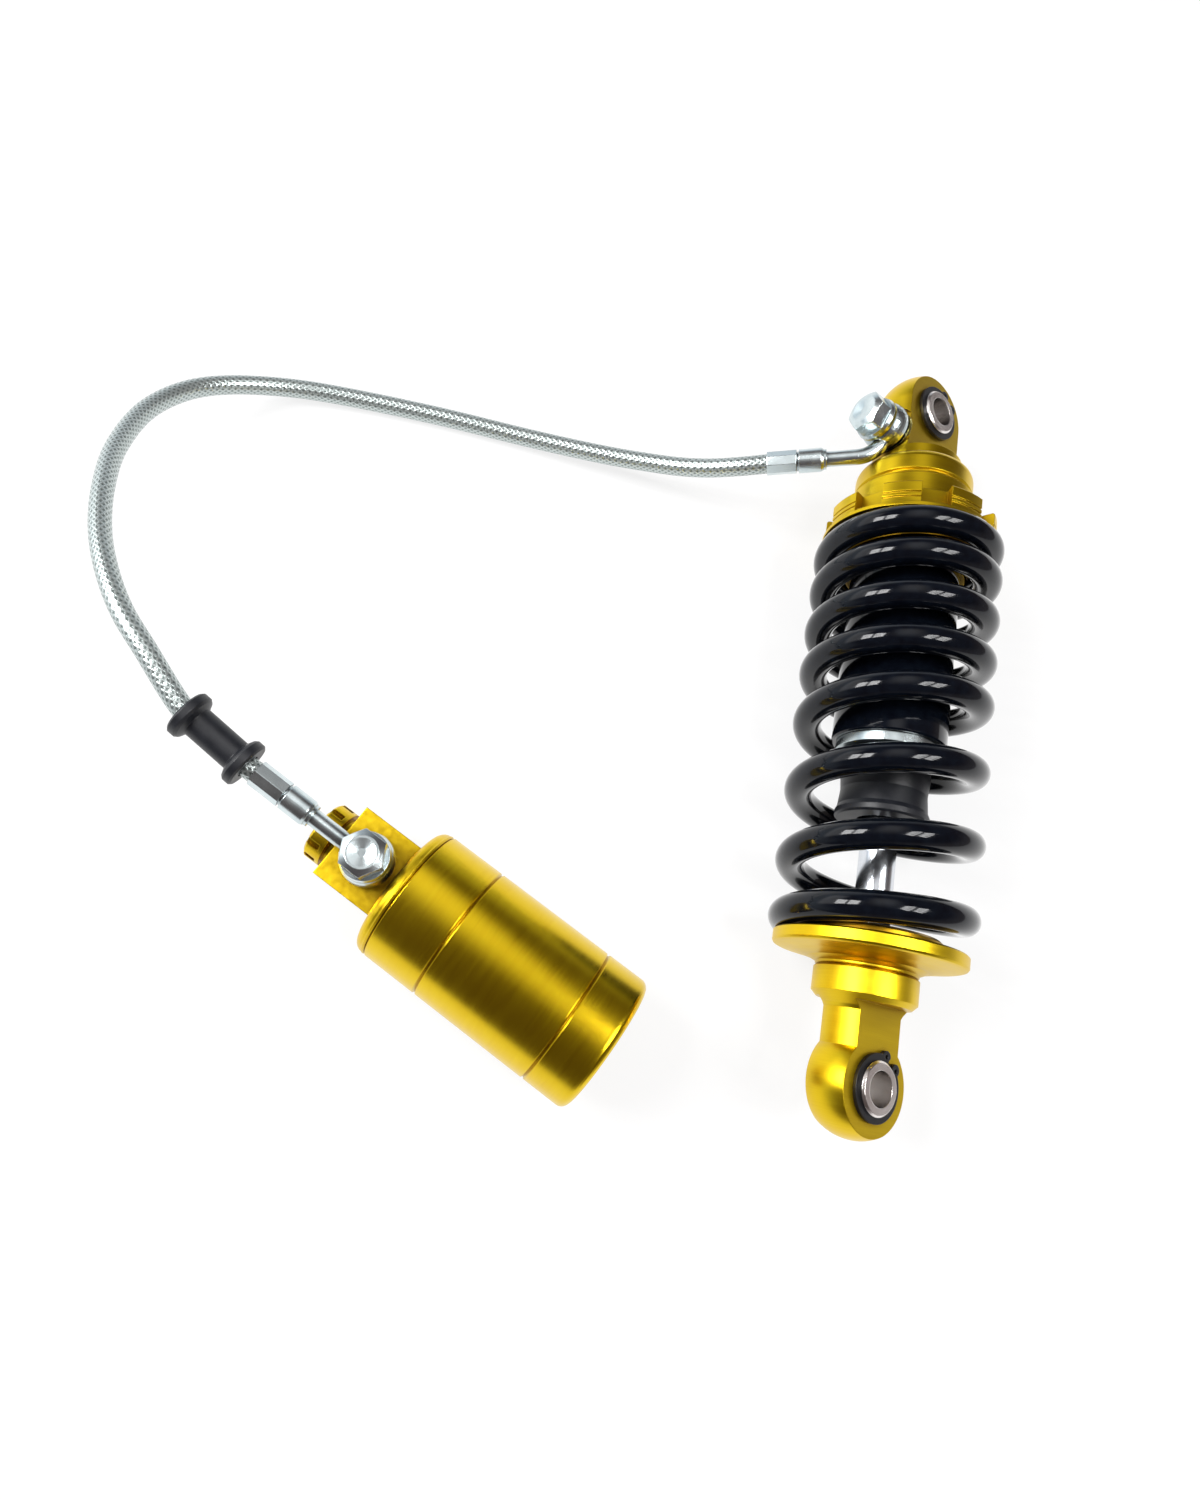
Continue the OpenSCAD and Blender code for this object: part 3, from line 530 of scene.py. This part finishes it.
FLOOR_WHITE = 0.8
FLOOR_DROP = 0.0004
floor = new_object("floor", [(-3, -3, 0), (3, -3, 0), (3, 3, 0), (-3, 3, 0)], [(0, 1, 2, 3)])
floor.location.z = TABLE_Z - FLOOR_DROP
n = Nodes("pale_floor")
n.set(Base_Color=n.ramp(n.noise(n.position(), 6, 2.0),
                        ((0.2, (0.90, 0.90, 0.905)), (0.8, (0.93, 0.93, 0.935)))),
      Roughness=0.75)
seen = n.add("ShaderNodeLightPath")
share = n.math("MAXIMUM", seen.outputs["Is Camera Ray"],
               n.math("MAXIMUM", seen.outputs["Is Glossy Ray"],
                      seen.outputs["Is Transmission Ray"]))
white = n.add("ShaderNodeEmission")
blend = n.add("ShaderNodeMixShader")
n.link(n.math("MULTIPLY", share, FLOOR_WHITE), blend.inputs[0])
n.link(n.bsdf.outputs[0], blend.inputs[1])
n.link(white.outputs[0], blend.inputs[2])
n.link(blend.outputs[0], n.tree.nodes["Material Output"].inputs[0])
paint(floor, n.mat)

world = bpy.data.worlds.new("studio")
scene.world = world
world.use_nodes = True
wt = world.node_tree
sky = wt.nodes["Background"]
direction = wt.nodes.new("ShaderNodeTexCoord")
split = wt.nodes.new("ShaderNodeSeparateXYZ")
wt.links.new(direction.outputs["Generated"], split.inputs[0])


def sky_ramp(value, stops):
    """Colour by one component of the direction, given as -1 to 1."""
    shift = wt.nodes.new("ShaderNodeMath")
    shift.operation = "MULTIPLY_ADD"
    shift.inputs[1].default_value = shift.inputs[2].default_value = 0.5
    wt.links.new(value, shift.inputs[0])
    ramp = wt.nodes.new("ShaderNodeValToRGB")
    while len(ramp.color_ramp.elements) < len(stops):
        ramp.color_ramp.elements.new(0.5)
    for stop, (place, color) in zip(ramp.color_ramp.elements, stops):
        stop.position = (place + 1) / 2
        stop.color = (*color, 1)
    wt.links.new(shift.outputs[0], ramp.inputs[0])
    return ramp.outputs[0]


WALL, DEEP = (0.76, 0.83, 0.90), (0.080, 0.062, 0.060)
turn = wt.nodes.new("ShaderNodeVectorMath")
turn.operation = "DOT_PRODUCT"
turn.inputs[1].default_value = (-0.8, 0.6, 0)
wt.links.new(direction.outputs["Generated"], turn.inputs[0])
side = sky_ramp(turn.outputs["Value"],
                ((-0.9, (0.30, 0.27, 0.27)), (-0.6, (0.22, 0.19, 0.18)), (-0.25, DEEP),
                 (-0.05, DEEP), (0.15, (0.34, 0.36, 0.38)), (0.8, WALL)))
height = sky_ramp(split.outputs[2], ((0.0, (1, 1, 1)), (0.18, (0.9, 0.9, 0.9)),
                                     (0.40, (0, 0, 0)), (1.0, (0, 0, 0))))
mix = wt.nodes.new("ShaderNodeMix")
mix.data_type = "RGBA"
wt.links.new(height, mix.inputs[0])
mix.inputs[6].default_value = (*DEEP, 1)
wt.links.new(side, mix.inputs[7])
wt.links.new(mix.outputs[2], sky.inputs[0])
sky.inputs[1].default_value = 1.0


def area(name, place, target, width, height, power):
    data = bpy.data.lights.new(name, "AREA")
    data.shape = "RECTANGLE"
    data.size, data.size_y = width, height
    data.energy = power
    lamp = bpy.data.objects.new(name, data)
    scene.collection.objects.link(lamp)
    lamp.location = place
    aim = Vector(target) - Vector(place)
    lamp.rotation_euler = aim.to_track_quat("-Z", "Y").to_euler()
    return lamp


CENTRE = Vector((-0.05, 0.1, 0))
PANE_W, PANE_H, BAR = 0.085, 0.22, 0.05


def soften(lamp, edge):
    """Let an area lamp fade over the share edge of each side."""
    lamp.data.use_nodes = True
    tree = lamp.data.node_tree
    emission = tree.nodes["Emission"]

    def math_node(operation, *inputs):
        node = tree.nodes.new("ShaderNodeMath")
        node.operation = operation
        for socket, value in zip(node.inputs, inputs):
            if isinstance(value, bpy.types.NodeSocket):
                tree.links.new(value, socket)
            else:
                socket.default_value = value
        return node.outputs[0]

    place = tree.nodes.new("ShaderNodeNewGeometry")
    uv = tree.nodes.new("ShaderNodeSeparateXYZ")
    tree.links.new(place.outputs["Parametric"], uv.inputs[0])
    level = 1
    for axis in (uv.outputs[0], uv.outputs[1]):
        inside = math_node("MINIMUM", axis, math_node("SUBTRACT", 1, axis))
        ramp = tree.nodes.new("ShaderNodeMapRange")
        ramp.interpolation_type = "SMOOTHSTEP"
        tree.links.new(inside, ramp.inputs[0])
        ramp.inputs[2].default_value = edge
        level = math_node("MULTIPLY", level, ramp.outputs[0])
    tree.links.new(level, emission.inputs["Strength"])


def window(name, place, columns, rows, power):
    """A window of small bright panes with bars between them."""
    place = Vector(place)
    away = (place - CENTRE).normalized()
    across = away.cross(Vector((0, 0, 1))).normalized()
    rise = across.cross(away)
    for c in range(columns):
        for k in range(rows):
            shift = (across * (c - (columns - 1) / 2) * (PANE_W + BAR)
                     + rise * (k - (rows - 1) / 2) * (PANE_H + BAR))
            area("%s_%d_%d" % (name, c, k), place + shift, CENTRE, PANE_W, PANE_H, power)


soften(area("softbox", (-0.10, 0.38, 0.62), (-0.10, 0.38, 0), 0.56, 1.15, 2.0), 0.45)
soften(area("window_side", (-0.95, 0.42, 0.42), (0, 0.20, 0.05), 1.5, 0.50, 3.2), 0.25)
window("window_left", (-0.82, 0.16, 0.78), 4, 2, 1.6)
window("window_right", (0.42, 0.02, 0.95), 4, 2, 1.1)

scene.view_settings.view_transform = "Standard"
